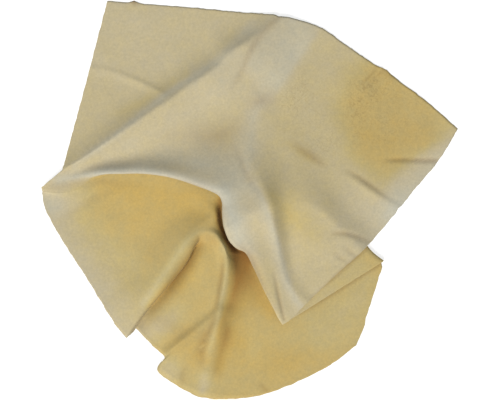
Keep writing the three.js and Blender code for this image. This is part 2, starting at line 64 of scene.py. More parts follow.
# the skin: one sheet in three stretches, an upper panel, a pleat turned under it and a lower panel. Sizes
# are in mm and heights are over a flat skin's face. A crest's line has rows of x, y, height and the
# widths of its left and right flanks
skin = {
    "thickness": 1.2,
    "pressed": 0.5,             # its own weight beds it this deep on the table
    "upperRows": 96,
    "arcRows": 11,              # in each bend of the pleat
    "runRows": 10,              # between its bends
    "lowerRows": 85,            # the sum of all rows is odd, as the under face takes every second one
    "columnPairs": 174,
    "leastPairs": 3,            # in any span between two stations
    "bendRoom": 0.96,           # share of the room between the panels that the pleat's bends may fill
    # stations along the pleat from the left tip: fold x, y, turn in degrees, reach, top and foot radius,
    # low height, then the brow's height and width, how high the panel rides over the tuck and how wide
    # that step is
    "pleat": [
        [-238.5, 11, 280, 3, 1.4, 1.3, 3.5, 0, 10, 0, 60],
        [-216, 17, 280, 14, 5, 9, 3.5, 4, 6, 0, 60],
        [-196, 21, 278, 14, 6, 9, 4, 6.5, 6, 0, 60],
        [-173, 26, 274, 6, 5, 5, 5, 9.5, 7, 0, 60],
        [-148, 26.5, 270, 0, 5.5, 3, 5, 11.5, 8.5, 0, 60],
        [-121, 26.5, 270, 0, 6, 3, 6, 14, 12, 0, 60],
        [-92, 23, 268, -2, 6, 3.5, 7, 16.5, 18, 0, 60],
        [-60, 14, 262, -5, 6, 4, 8.5, 20, 34, 0, 60],
        [-36, 5, 240, -10, 6, 4, 7, 20.5, 42, 0, 60],
        [-32, -3.5, 226, -18, 6, 4, 4, 17, 44, 0, 60],
        [-32, -9, 222, -21, 6, 4, 4, 15.5, 46, 0, 60],
        [-32, -14, 218, -24, 6, 4, 4, 15, 48, 0, 60],
        [-30.5, -29, 216, -30, 6, 4, 4, 13.5, 45, 1.6, 60],
        [-29, -34, 216, -33, 5.5, 4, 3.5, 13, 42, 2, 60],
        [-27.8, -38, 216, -37, 5.5, 4, 3.3, 12, 40, 2.4, 60],
        [-26.6, -41, 217, -42, 5, 3.5, 3, 11, 38, 2.8, 60],
        [-24, -46.5, 218, -50, 5, 3.2, 2.5, 10, 36, 3.2, 60],
        [-20.5, -51, 220, -60, 4.5, 3, 2, 9, 34, 3, 60],
        [-14.5, -56, 222, -72, 4.2, 2.8, 1.5, 8, 32, 3.4, 60],
        [-5.5, -60.5, 224, -84, 4, 2.5, 1, 6.5, 30, 4.6, 46],
        [4, -78, 223, -102, 3.4, 2, 0.4, 4.5, 28, 8, 22],
        [16, -104, 220, -114, 3.2, 2.2, 0, 3.6, 28, 8, 20],
        [27.5, -126, 218, -123, 2.8, 2.4, 0, 3, 28, 8, 20],
        [33, -137, 215, -127, 2.5, 2.4, 0, 2.6, 28, 8, 20],
        [37, -143, 212, -132, 2.3, 2.4, 0, 2.4, 28, 8, 20],
    ],
    "firstTucked": 11,          # station where the pleat's inner bend starts to lift the upper panel
    "browRounding": 5,
    "browStraight": (2, 2),
    "tuckRounding": 5,
    "tuckBack": 7,              # the step's crest lies this far inside the pleat's inner bend
    "tuckStays": 1e6,           # a flank so wide that the panel stays up past the step
    # cut edge at each station: upper panel x, y, then lower panel x, y and height
    "edge": [
        [-239, 14.5, -238.8, 8, 2], [-214.7, 34.5, -236, -8, 1], [-207, 66, -225, -30.5, 0.4],
        [-189, 133, -207.5, -59.5, 0], [-164, 229, -190, -86, 0], [-115, 225, -174.5, -111.5, 0],
        [-63, 221, -164, -128.5, 1], [-12, 216, -153, -145, 1.6], [33, 212, -141.5, -158.5, 2],
        [80, 199, -136, -153, 1.2], [108, 180, -132.7, -149.5, 0.6], [137, 160, -133.4, -146, 0.2],
        [198, 117.5, -112, -167.5, 0], [239, 82, -98.5, -180, 0.4], [227, 61, -99, -183, 1.4],
        [212, 39, -107, -193, 1.6], [200, 25, -104, -199, 2], [185, 7.5, -62, -225, 1.6],
        [177, -3, -48, -228, 1], [168, -14, -32, -229, 0], [133, -54, 14, -224, 0],
        [98, -86, 90, -191, 0], [63, -120, 122, -167, 0], [51, -132, 139, -118, 0],
        [44, -139, 152, -77, 0],
    ],
    "upperCorners": [1, 4, 13],     # stations where the cut edge turns sharply
    "lowerCorners": [8, 22],
    "firstRib": 7,              # station of the first rib
    # ribs of the lower panel, from the pleat to the cut edge: x, y and height
    "ribs": [
        [[-57.5, 4.6, 10], [-60, -9, 10], [-79, -28, 9], [-94, -42, 8], [-108, -62, 7.5],
         [-122, -87, 6], [-139, -108, 4]],
        [[-39, 0, 9], [-46, -10, 11], [-74, -37, 10], [-80, -50, 10.5], [-91, -72, 10.5],
         [-106, -100.5, 9.5], [-122.5, -119.6, 6]],
        [[-34, -8, 6], [-40, -14.5, 11.5], [-66, -36, 11], [-72, -52, 12], [-81, -73.5, 12],
         [-100, -100.5, 10.5], [-119.5, -122.5, 6.5]],
        [[-33.4, -13.8, 4], [-38, -19.5, 11], [-59.5, -34, 11.5], [-64.5, -53, 12],
         [-73.6, -72.5, 12.5], [-94.5, -99, 11], [-116, -125.4, 7]],
        [[-32.2, -19.6, 3], [-37.5, -23.5, 10], [-54, -33.5, 12], [-58.5, -53, 12], [-69, -72, 12.5],
         [-89, -100, 11], [-112, -129, 7]],
        [[-29.3, -32, 3], [-35.5, -30, 8.5], [-48, -34, 12], [-52, -52, 12.5], [-59, -72.5, 12.5],
         [-74, -102, 11], [-95, -136, 6.5]],
        [[-27, -36.8, 3], [-33.5, -34.5, 7.5], [-42.5, -36, 12], [-46, -52, 12.5], [-49, -72.5, 12],
         [-56, -102, 10.5], [-69, -146, 6]],
        [[-24.7, -40.3, 3], [-31.2, -39.5, 6.5], [-37, -40, 12], [-40, -52.5, 12], [-40, -73, 11],
         [-42, -104, 9.5], [-60, -148, 5.5]],
        [[-22.4, -43.7, 2], [-28.5, -44, 4], [-33, -45.5, 11.5], [-33.5, -56, 11.5], [-34.5, -74, 10],
         [-36.5, -105, 8], [-50, -150, 5.5]],
        [[-19, -49, 1.2], [-24, -50.5, 2.5], [-28.8, -52.5, 11], [-28.8, -61, 11], [-28.5, -76, 10],
         [-32, -106, 7], [-42, -149, 5]],
        [[-13.8, -54.6, 0.8], [-19, -56.5, 1.2], [-25.3, -59.5, 8.5], [-24.5, -67, 9],
         [-24.2, -78, 8.5], [-27, -107, 5.5], [-33, -146, 4]],
        [[-5.8, -58.7, 0.6], [-12, -61, 0.8], [-17.5, -65, 1.2], [-16, -73, 1.6], [-15, -82, 2],
         [-17, -109, 2], [-22, -146, 1.5]],
        [[13.8, -53, 0.6], [-1, -63.5, 0.6], [-5, -68, 0.5], [-4.5, -77, 0.5], [-4, -90, 0.5],
         [-4, -120, 0.4], [-9, -168, 0.4]],
    ],
    "upperCrests": {
        "longRidge": {
            "rounding": 1,
            "straight": (1, 4),
            "line": [[-240, 12, 5, 6, 6], [-214, 34.5, 9, 8, 7], [-197, 44, 12, 9, 9],
                     [-161, 67, 15, 10, 21], [-128, 89.5, 16.5, 10, 34], [-94.5, 112, 17, 10, 43],
                     [-67.5, 131, 17, 10, 47], [-37, 151.5, 17, 10, 53], [-23, 166.5, 17, 9.5, 56],
                     [-6.5, 178, 16, 9, 60], [12, 192, 11, 9, 55], [38, 213, 4, 8, 45]],
        },
        "hump": {
            "rounding": 2,
            "line": [[-22, -30, 7, 36, 34], [17, -5, 7.5, 40, 34]],
        },
        "spine": {
            "rounding": 2,
            "line": [[-2, 80, 1.5, 60, 40], [2, 46, 3, 45, 40], [12.5, 23, 4.4, 20, 38],
                     [23, -4.6, 7, 12, 40], [26, -27.6, 11, 12, 42], [30, -46, 9.5, 12, 32],
                     [34.5, -69, 6.5, 11, 24], [41, -92, 4.5, 11, 22], [55, -110, 3, 10, 20],
                     [67, -120, 2, 8, 18]],
        },
        "swell": {
            "rounding": 50,
            "line": [[-22, 11, 3.2, 36, 36], [0, 4, 2.6, 34, 36]],
        },
        "strip": {
            "rounding": 4,
            "line": [[-3.5, -46, 3, 18, 12], [12, -71, 7, 17, 12], [21.5, -97.8, 6.5, 17, 12],
                     [32, -129, 4, 16, 12]],
        },
        "fan": {
            "rounding": 8,
            "line": [[108, 33, 1.2, 80, 20], [130, 22, 3, 80, 24], [148, 6, 3.2, 80, 24],
                     [168, -8, 2.2, 70, 22]],
        },
        "shoulder": {
            "rounding": 30,
            "line": [[42, 95, 3, 110, 50], [60, 50, 5.5, 100, 50], [77, 5, 8.5, 90, 46],
                     [88, -40, 7.5, 80, 46], [93, -75, 3.5, 70, 40]],
        },
    },
    # in the lower panel each row also has how straight its two flanks are
    "lowerCrests": {
        "arch": {
            "rounding": 6,
            "line": [[-141.5, -157, 4, 20, 5, 4, 4], [-133, -138, 6, 22, 5, 4, 4],
                     [-122.5, -119.6, 7.5, 24, 5, 4, 4], [-107, -101.8, 9, 24, 5, 4, 4],
                     [-89.7, -73, 9, 24, 5, 4, 4], [-75.9, -52.9, 8.5, 24, 5, 4, 4],
                     [-65, -39.8, 7, 24, 5, 4, 4], [-54, -34.5, 5, 16, 5, 4, 4],
                     [-42.6, -36.8, 4.5, 9, 5, 4, 4], [-33.8, -46, 6, 6, 5, 4, 4],
                     [-27.2, -58.5, 8, 6, 6, 4, 4], [-25.3, -74.8, 9, 14, 6, 4, 4],
                     [-27.6, -97.8, 9.5, 24, 6, 4, 4], [-32.2, -119.6, 9.5, 19, 6, 3, 4],
                     [-35.7, -134.6, 10, 15, 5, 3, 4], [-40, -152, 9.5, 13, 5, 3, 4],
                     [-46, -172.5, 6, 7, 5, 2, 3], [-50.6, -195.5, 3, 6, 6, 2, 3]],
        },
        "archGroove": {
            "rounding": 1.2,
            "line": [[-133.5, -148, -4, 2, 7, 4, 1.5], [-117, -124.8, -8, 2, 8, 4, 1.5],
                     [-95, -98.3, -11, 2, 8, 4, 1.5], [-74.4, -71.9, -12, 2, 8, 4, 1.5],
                     [-66.2, -56.3, -12, 2, 8, 4, 1.5], [-59, -47.5, -7, 3, 8, 4, 1.5]],
        },
        "slotLip": {
            "rounding": 2,
            "line": [[-38.5, 3.5, 0.5, 14, 8, 4, 3], [-40, -8, 1.5, 16, 8, 4, 3],
                     [-40.2, -18.4, 1.5, 16, 8, 4, 3], [-38.5, -28, 0.5, 12, 8, 4, 3]],
        },
        "flapFold": {
            "rounding": 1.5,
            "line": [[-34, -126, 3, 30, 5, 4, 4], [-54, -143, 5, 32, 6, 4, 4],
                     [-83, -166, 5, 32, 6, 4, 4], [-97, -177, 4, 26, 6, 4, 4]],
        },
    },
    # the arch's lip leans over its groove, towards a turn in degrees, by an amount in place of a height
    "archLean": {
        "turn": -36,
        "rounding": 1,
        "line": [[-136, -146.2, 1.5, 6, 2.5], [-119.4, -123, 3, 6, 2.5], [-97.4, -96.5, 4, 6, 2.5],
                 [-76.8, -70.1, 4.5, 6, 2.5], [-68.6, -54.5, 4.5, 6, 2.5], [-61.4, -45.7, 2, 6, 3]],
    },
    # fine folds and wrinkles: height (less than nothing for a groove), width of each flank, what is left
    # of the height at the two ends, and the points that the line follows
    "creaseRounding": 0.8,
    "upperCreases": [
        [-0.9, 4, 4, 1, 0.2, [[34.5, 212], [17.3, 194.4], [5.8, 178.8], [-1.2, 165.6], [-12, 141.5],
                              [-20.7, 127.7]]],
        [1.3, 4, 7, 0.6, 0.1, [[-181, 151.8], [-156.4, 146.6], [-128, 136], [-105.8, 125.4], [-94, 119]]],
        [-0.8, 1.5, 1.5, 1, 0.1, [[147, 154], [136, 141], [124, 130]]],
        [0.9, 1.8, 1.8, 1, 0.1, [[150.5, 152], [139, 139.3], [126, 128.5]]],
        [-0.8, 1.5, 1.5, 1, 0.1, [[154, 150], [142, 137.5], [128, 127]]],
        [-0.7, 2, 2, 1, 0, [[167, 141], [159, 146], [152, 148]]],
        [-1.6, 2.6, 2.6, 0, 1, [[150, 46], [170, 46.6], [192, 46], [218, 44.9]]],
        [1.5, 4, 9, 0.3, 0.5, [[112, 29], [126, 20.5], [140, 11], [152, 2], [170, -9]]],
        [-1.3, 2.8, 2.8, 0.2, 0.1, [[112, 34], [126.5, 25], [140, 15], [156, 4]]],
        [-1.3, 2.8, 2.8, 0, 0.6, [[89.7, -38], [104, -37.5], [118, -40.5], [136, -47.5]]],
        [-0.5, 3, 3, 0, 0, [[94.3, -57.5], [104, -66], [115, -71.3]]],
        [-0.5, 3, 3, 0, 0, [[103.5, -53], [115, -59], [124, -66.7]]],
        [-0.5, 4, 5, 0, 0, [[-23, 71.3], [-11.5, 50.6], [-4.6, 32.2], [6.9, 13.8], [18.4, -2.3]]],
        [-0.9, 2.5, 2.5, 0.3, 1, [[27.6, -82.8], [32.2, -105.8], [39, -135.7]]],
    ],
    "lowerCreases": [
        [-0.9, 3, 3, 0, 1, [[8, -210.5], [14, -214], [19.6, -221]]],
        [-1.7, 6, 6, 0.5, 0.2, [[-40, -136], [-51.8, -158.7], [-55.5, -174], [-52.5, -193]]],
        [-1.5, 3, 3, 0.2, 0.4, [[-31, -66], [-32.5, -84], [-35, -100], [-38.5, -121]]],
        [-1.1, 4, 4, 0, 0.6, [[-75.9, -190], [-77.5, -200], [-78.2, -210]]],
        [-0.35, 5, 5, 0.2, 0, [[-222, -24], [-180, 0], [-147, 17.7]]],
        [-0.3, 4, 4, 0, 0, [[-201, -5.8], [-180, 4], [-161, 11.5]]],
    ],
    # soft unevenness of both panels and of the cut edge: waves with seeded directions, lengths and starts
    "uneven": {
        "upperSeed": 7,
        "lowerSeed": 8,
        "waves": 26,
        "shortest": 16,
        "longest": 75,
        "height": 0.32,
        "upperEdgeSeed": 10,
        "lowerEdgeSeed": 9,
        "edgeWaves": 12,
        "edgeShortest": 4,
        "edgeLongest": 24,
        "edgeOut": 0.2,
    },
    # bumps and notches of the cut edge: x, y, how far out and half width
    "upperEdgeBumps": [
        [-133, 228, 3, 4.5], [33.4, 212, -1.2, 3], [158.7, 149.5, 2.5, 12], [170.8, -11.5, -1.2, 4],
    ],
    "lowerEdgeBumps": [
        [124, -147, -2, 12],
    ],
    # tone of the leather, from 0 for rubbed pale cream to 1 for ochre and on to 1.5 for the deepest
    # brown, which is painted shade where the slot and the trough beside the right leg go past 1: bands
    # are lines as crests have them, with an amount of tone in place of a height, and patches have x, y,
    # two radii, turn in degrees, softness and amount
    "bandRounding": 1,
    "toneTurn": (-1, 2),        # down the pleat: its tone changes where this goes from 0 to 1
    "upperTone": {
        "plain": 0.46,
        "bands": [
            # the long ridge's rubbed crest, its far side and its near side
            [[-201, 40, -0.18, 5, 5], [-161, 69, -0.26, 5, 5], [-92, 123, -0.26, 5, 6],
             [-40, 157.5, -0.22, 6, 10], [0, 198, -0.15, 8, 15]],
            [[-150, 100, 0.1, 9, 9], [-115, 117, 0.12, 9, 9], [-75, 143, 0.1, 9, 9]],
            [[-161, 52, -0.08, 20, 20], [-69, 103.5, -0.1, 25, 25], [0, 161, -0.1, 25, 25]],
            # stripe from the far edge to the hump
            [[78, 198, -0.14, 5, 60], [54, 163, -0.16, 5, 50], [30, 126.5, -0.16, 6, 24],
             [6, 100, -0.2, 9, 14], [0, 57.5, -0.2, 14, 18], [-8, 17, -0.2, 20, 30]],
            # the brow, the hump's side over the slot and the tucked strip
            [[-218.5, 23, -0.3, 9, 12], [-186, 30, -0.4, 9, 12], [-161, 32, -0.42, 9, 12],
             [-115, 32, -0.42, 8, 12], [-57.5, 18.4, -0.4, 8, 12], [-32, 4.6, -0.35, 10, 12]],
            [[-32, 11.5, -0.22, 20, 20], [-20.7, -17, -0.44, 22, 24], [-14, -42, -0.36, 22, 20]],
            [[0, -57.5, -0.12, 16, 15], [20.7, -97.8, 0.08, 15, 15], [38, -133, 0, 15, 15]],
            # the spine's rubbed crest and the hollow right of it
            [[6, 17, -0.2, 4, 12], [15, 0, -0.3, 4, 12], [28.8, -40, -0.3, 4, 12],
             [38, -74.8, -0.28, 4, 12], [47, -103.5, -0.26, 4, 10], [60, -124, -0.2, 4, 10]],
            [[25, 6, 0.2, 20, 10], [46, -17, 0.25, 22, 20], [71, -40, 0.12, 20, 20]],
            # behind the brow, along the near edge, and a smudge
            [[-170, 38, -0.05, 8, 8], [-126, 42, -0.15, 14, 8], [-69, 44, -0.26, 26, 14],
             [-30, 36, -0.2, 30, 20]],
            [[172.5, -5.8, -0.1, 12, 14], [132, -51.8, -0.1, 12, 14]],
            [[43.7, 64.4, 0.08, 6, 6], [62, 53, 0.16, 7, 7], [80.5, 41.4, 0.1, 6, 6]],
        ],
        "patches": [
            [167, 98, 63, 72, 0, 7, 0.37], [218, 20, 74, 40, 34, 4, -0.34],
            [138, -17, 34, 30, 0, 10, -0.1], [34, 174, 52, 30, 57, 5, -0.14],
            [135, 50, 16, 22, 0, 8, 0.1], [161, 11, 20, 16, 0, 8, 0.12],
            [-172, 69, 40, 17, 35, 8, 0.04], [69, 92, 45, 85, -20, 16, 0.06],
            [-130, 180, 70, 45, -10, 20, -0.06],
        ],
    },
    "lowerTone": {
        "plain": 0.82,
        "bands": [
            # below the brow and along the left cut edge
            [[-201, 11.5, 0.12, 20, 40], [-115, 11.5, 0.16, 20, 60], [-40, -5.8, 0.14, 20, 50]],
            [[-238, 6, -0.42, 35, 10], [-218.5, -40, -0.46, 50, 10], [-179, -103.5, -0.48, 60, 10],
             [-140, -157.5, -0.42, 50, 10]],
            # the arch's rubbed crest and the hollow inside it
            [[-122.5, -119.6, -0.12, 6, 5], [-89.7, -73, -0.15, 6, 5], [-65, -39.8, -0.15, 6, 5],
             [-54, -34.5, -0.13, 6, 5], [-42.6, -36.8, -0.13, 6, 5], [-34.5, -46, -0.12, 5, 5],
             [-28.5, -60, -0.13, 4, 5], [-26.5, -75, -0.15, 4, 5], [-29, -98, -0.15, 4, 5],
             [-33.5, -120, -0.14, 4, 5], [-37, -135, -0.14, 4, 5], [-41, -152, -0.14, 4, 6],
             [-47, -172, -0.14, 5, 6]],
            [[-50, -43, -0.05, 14, 6], [-58, -50, 0.12, 18, 4], [-82.8, -86, 0.25, 20, 4],
             [-115, -120.8, 0.15, 14, 4]],
            # the foot of the arch's right leg and the hollow right of it
            [[-52, -200, -0.2, 9, 8], [-54, -218.5, -0.25, 9, 8]],
            [[-26, -150, 0.2, 9, 6], [-32, -172, 0.25, 10, 6], [-38, -197, 0.2, 10, 6]],
            # ochre beside the tucked strip; down the slot and in the trough beside the right leg the tone
            # goes past 1 into painted shade, a deep brown
            [[2, -84, 0.2, 14, 14], [12, -108, 0.22, 14, 14], [22, -130, 0.15, 12, 12]],
            [[-34, 3, 0.3, 4, 4], [-35, -15, 0.6, 4, 4], [-33.5, -28.7, 0.6, 4, 4],
             [-29, -41, 0.7, 5, 3], [-23.5, -51, 0.8, 6, 3], [-14, -58, 0.7, 8, 12],
             [-4, -63, 0.6, 8, 14]],
            [[-13, -58, 0.6, 24, 7], [-13, -76, 0.75, 22, 9], [-16, -98, 0.65, 20, 8],
             [-23, -121, 0.4, 20, 6], [-32, -140, 0.2, 18, 4], [-36, -160, 0.1, 14, 4]],
        ],
        "patches": [
            [-97.8, -143, 17, 11, 40, 5, -0.26], [-17, -163, 14, 14, 0, 6, 0.14],
            [40, -184, 30, 14, 10, 6, 0.14], [92, -148, 42, 24, 20, 9, -0.14],
            [121, -98, 25, 25, 0, 8, -0.12], [-92, -195.5, 18, 12, -35, 5, -0.3],
            [-56, -216, 12, 12, 0, 6, -0.1], [-208, 2, 30, 16, 20, 6, -0.3],
            [-69, -172, 24, 20, 0, 8, 0.08],
        ],
    },
    # where the upper panel kept the pebbled grain of the hide, in patches as tone has them
    "hideGrain": {
        "plain": 0,
        "bands": [],
        "patches": [
            [150, 112, 62, 40, 130, 9, 0.45], [68, 95, 34, 62, 20, 10, 0.35],
            [140, 126, 13, 11, 40, 4, 0.8], [122, 92, 34, 8, 90, 4, 0.6], [155, 80, 9, 9, 0, 4, 0.5],
            [57, 124, 10, 13, 0, 5, 0.6], [43, 111, 8, 8, 0, 4, 0.5], [85, 64, 8, 7, 0, 4, 0.5],
        ],
    },
    # painted light and soil: below nothing a painted highlight, as of a nap rubbed bright, up to about 1
    # painted shade, as at the foot of a deep fold; beside the painted light there are two real smudges,
    # the deep ochre patch and a fleck
    "paintedLightAndSoil": {
        "range": (-0.3, 1.3),
        "groove": 0.4,              # painted shade in a crease, for each millimetre of its depth
        "edge": (0.12, 0.04),       # painted shade on the cut edge and one row in
        "fleck": (-133, 229, 4),    # on the cut edge: x, y and radius
        "upperBands": [
            # painted shade on the brow's fold, on the tucked strip's side at the fold, and behind the
            # brow
            [[-234, 11, 0.15, 7, 7], [-218.5, 15, 0.2, 7, 7], [-148, 26, 0.35, 7, 7],
             [-92, 23, 0.4, 7, 7], [-38, 5, 0.35, 7, 7], [-31, -20, 0.2, 5, 5]],
            [[-9, -56, 0.35, 8, 8], [0, -66, 0.55, 9, 6], [6, -80, 0.5, 9, 6], [16, -104, 0.35, 8, 6],
             [27, -126, 0.1, 6, 6]],
            [[-95, 75, 0.08, 14, 14], [-62, 74, 0.2, 18, 16], [-36, 74, 0.36, 16, 16],
             [-18, 84, 0.2, 14, 14]],
            # a stripe made lighter, painted shade in the brow's valley, and the deep ochre patch made
            # darker
            [[20, 150, -0.06, 10, 10], [30, 138, -0.1, 10, 10], [40, 126, -0.06, 10, 10]],
            [[-190, 33, 0.1, 5, 5], [-172, 38, 0.22, 6, 5], [-150, 40, 0.15, 6, 6],
             [-126, 42, 0.05, 6, 6]],
            [[140, 112, 0.12, 45, 45], [185, 82, 0.12, 40, 40]],
            # two smudges, and a painted shadow along the tucked corner's cut edge
            [[48, 64, 0.1, 5, 4], [62, 55, 0.38, 7, 5], [75, 47, 0.42, 7, 5], [84, 40, 0.15, 5, 4]],
            [[0, 108, 0.1, 8, 8], [12, 113, 0.36, 10, 9], [23, 118, 0.2, 8, 8]],
            [[135, -55, 0.3, 2, 2], [117, -70, 0.45, 2, 2], [98, -87, 0.45, 2, 2], [70, -114, 0.3, 2, 2]],
        ],
        "lowerBands": [
            # painted shade in the slot, on the arch's deep side and in the flap's valley
            [[-33.5, 1, 0.3, 3, 2.5], [-35, -15, 0.6, 3.5, 3], [-34, -28.7, 0.6, 3.5, 3.5],
             [-29.5, -41, 0.6, 3.5, 3], [-24, -51, 0.6, 6, 2.5], [-16, -56.5, 0.7, 7, 6],
             [-4, -62, 0.75, 8, 7], [4, -68, 0.4, 7, 8]],
            [[-132.8, -148.4, 0.25, 4, 12], [-94.3, -98.9, 0.45, 4, 13], [-65.5, -57, 0.4, 4, 12],
             [-58, -48.3, 0.25, 4, 8]],
            [[-108, -136, 0.2, 16, 20], [-80, -150, 0.25, 16, 20], [-58, -152, 0.1, 10, 12]],
            # painted shade in the trough beside the right leg and below the brow, and a painted shadow
            # under the tucked edge
            [[-10, -62, 0.35, 14, 9], [-3, -78, 0.28, 14, 10], [2, -92, 0.28, 14, 14],
             [4, -112, 0.2, 14, 20], [0, -135, 0.1, 16, 20]],
            [[58, -130, 0.3, 2, 3], [105, -101, 0.5, 2, 3], [150, -73, 0.4, 2, 3]],
            [[-190, 14, 0.15, 5, 5], [-172, 21, 0.28, 6, 6], [-150, 19, 0.18, 6, 6],
             [-126, 17, 0.1, 6, 6]],
            # painted shade at the right leg's foot, inside the arch's top and at the slot's foot
            [[-30, -130, 0.1, 5, 5], [-27, -148, 0.28, 7, 6], [-32, -170, 0.22, 7, 5],
             [-39, -195, 0.15, 7, 5]],
            [[-60, -42, 0.15, 8, 10], [-48, -42, 0.4, 8, 10], [-40, -48, 0.3, 6, 8]],
            [[-22.5, -53, 0.25, 5, 2], [-20.5, -60, 0.2, 6, 2.5], [-16, -66, 0.15, 7, 4],
             [-8, -68, 0.2, 7, 7]],
            # painted highlights, as of rubbed nap: the left leg's crest, the hollow inside the arch, the
            # panel right of the right leg and that leg's own right side
            [[-122, -118, -0.14, 6, 6], [-97, -82, -0.2, 6, 6], [-77, -52, -0.2, 6, 6],
             [-62, -37, -0.1, 5, 5]],
            [[-54, -64, -0.15, 12, 10], [-60, -82, -0.12, 12, 12], [-72, -100, -0.08, 12, 12]],
            [[-3, -140, -0.1, 14, 12], [0, -160, -0.14, 16, 14], [4, -185, -0.1, 16, 14]],
            [[-21, -68, -0.15, 3, 4], [-17.5, -82, -0.3, 4, 6], [-18, -98, -0.2, 4, 6],
             [-23, -116, -0.1, 4, 5]],
        ],
    },
}
flat = skin["thickness"] - skin["pressed"]      # height of the face where the skin lies flat


# cubic through the rows: the slope at a row weighs the steps to its neighbours by the square roots of
# their lengths in plan, each with a little added so that none is nothing, and at a corner or an end each
# side takes the step to its own neighbour
def curveThrough(rows, places, corners=(), added=1):
    rows = np.asarray(rows, float)
    last = len(rows) - 1
    steps = np.diff(rows, axis=0)
    root = np.sqrt(np.linalg.norm(steps[..., :2], axis=-1, keepdims=True) + added)
    leaving = np.concatenate([steps, steps[-1:]])
    arriving = np.concatenate([steps[:1], steps])
    smooth = np.array([i for i in range(1, last) if i not in corners], int)
    before, after = root[smooth - 1], root[smooth]
    slope = (after / before * steps[smooth - 1] + before / after * steps[smooth]) / (before + after)
    leaving[smooth] = slope * after
    arriving[smooth] = slope * before
    span = np.clip(np.floor(places).astype(int), 0, last - 1)
    t = (np.asarray(places) - span).reshape([-1] + [1] * (rows.ndim - 1))
    return ((2 * t**3 - 3 * t**2 + 1) * rows[span] + (t**3 - 2 * t**2 + t) * leaving[span]
            + (3 * t**2 - 2 * t**3) * rows[span + 1] + (t**3 - t**2) * arriving[span + 1])


# plan direction of a turn in degrees, as its cosine and sine
def leanOf(turn):
    return np.stack([np.cos(np.radians(turn)), np.sin(np.radians(turn))], -1)


# height of one crest over plan points: rounded on its line, then a flank of log(1 + exp(k - k t)), with t
# the distance over the flank's width, which is straight with a soft foot for k of 4 and hollow for k of
# 1. Round an end of the line one flank turns into the other. The line is cut into steps, which blend by
# exp(-d / w), with d how much further off a step is than the nearest one and w a width that grows with
# that one's distance
def crestHeight(crest, xy, stepsPerSpan=5, blend=1, blendGrowth=0.06, straight=(4, 4), tiny=1e-6):
    line = np.asarray(crest["line"], float)
    spans = len(line) - 1
    steps = curveThrough(line, np.linspace(0, spans, spans * stepsPerSpan + 1))
    starts, stops = steps[:-1], steps[1:]
    along = stops[:, :2] - starts[:, :2]
    length = np.hypot(*along.T)
    away = xy[..., None, :] - starts[:, :2]
    share = np.clip((away * along).sum(-1) / length**2, 0, 1)
    distance = np.hypot(*np.moveaxis(away - share[..., None] * along, -1, 0))
    least = distance.min(-1, keepdims=True)
    weight = np.exp((least - distance) / (blend + blendGrowth * least))
    weight /= weight.sum(-1, keepdims=True)
    side = along[:, 0] * away[..., 1] - along[:, 1] * away[..., 0]
    side /= length * np.maximum(distance, tiny)
    onLeft = 0.5 + 0.5 * (weight * np.clip(side, -1, 1)).sum(-1)
    mixed = (weight * (1 - share)) @ starts + (weight * share) @ stops
    height, left, right, *bends = np.moveaxis(mixed[..., 2:], -1, 0)
    rounded = np.hypot(least[..., 0], crest["rounding"]) - crest["rounding"]
    t = rounded * (onLeft / left + (1 - onLeft) / right)
    kLeft, kRight = bends or crest.get("straight", straight)
    k = onLeft * kLeft + (1 - onLeft) * kRight
    return height * np.logaddexp(0, k * (1 - t)) / np.logaddexp(0, k)


# summed heights of several crests
def crestSum(crests, xy):
    return sum(crestHeight(crest, xy) for crest in crests)


# a crease as a crest: its height eases from the ends' shares to the whole in the middle, as a half sine
# does
def creaseCrest(crease):
    height, left, right, first, last, points = crease
    share = np.linspace(0, 1, len(points))
    ends = first + (last - first) * share
    size = height * np.maximum(ends, np.sin(np.pi * share))
    widths = np.tile([left, right], (len(points), 1))
    return {"rounding": skin["creaseRounding"], "line": np.column_stack([points, size, widths])}


# summed amounts of several bands of tone or soil, which fall off as crests do
def bandSum(bands, xy):
    return crestSum([{"rounding": skin["bandRounding"], "line": band} for band in bands], xy)


# sum of sine waves over plan points, each with its own direction, length and start, equally steep
def unevenHeight(xy, seed):
    uneven = skin["uneven"]
    draw = np.random.default_rng(seed)
    length = draw.uniform(uneven["shortest"], uneven["longest"], uneven["waves"])
    turn = draw.uniform(0, 2 * np.pi, uneven["waves"])
    start = draw.uniform(0, 2 * np.pi, uneven["waves"])
    phase = xy @ np.stack([np.cos(turn), np.sin(turn)]) * 2 * np.pi / length + start
    size = uneven["height"] * length / uneven["longest"]
    return (size * np.sin(phase)).sum(-1) * np.sqrt(2 / uneven["waves"])


# cut edge with its waviness, a sum of sines along its run, and its bumps, which fade as exp(-distance
# squared): each moves it square to its run and outwards
def unevenEdge(edge, bumps, seed):
    uneven = skin["uneven"]
    draw = np.random.default_rng(seed)
    length = draw.uniform(uneven["edgeShortest"], uneven["edgeLongest"], uneven["edgeWaves"])
    start = draw.uniform(0, 2 * np.pi, uneven["edgeWaves"])
    run = np.gradient(edge[:, :2], axis=0)
    out = np.stack([-run[:, 1], run[:, 0]], 1) / np.hypot(*run.T)[:, None]
    phase = np.cumsum(np.hypot(*run.T))[:, None] * 2 * np.pi / length + start
    move = uneven["edgeOut"] * np.sin(phase).sum(1) * np.sqrt(2 / uneven["edgeWaves"])
    for x, y, far, half in bumps:
        move += far * np.exp(-((edge[:, :2] - [x, y])**2).sum(1) / half**2)
    moved = edge.copy()
    moved[:, :2] += move[:, None] * out
    return moved


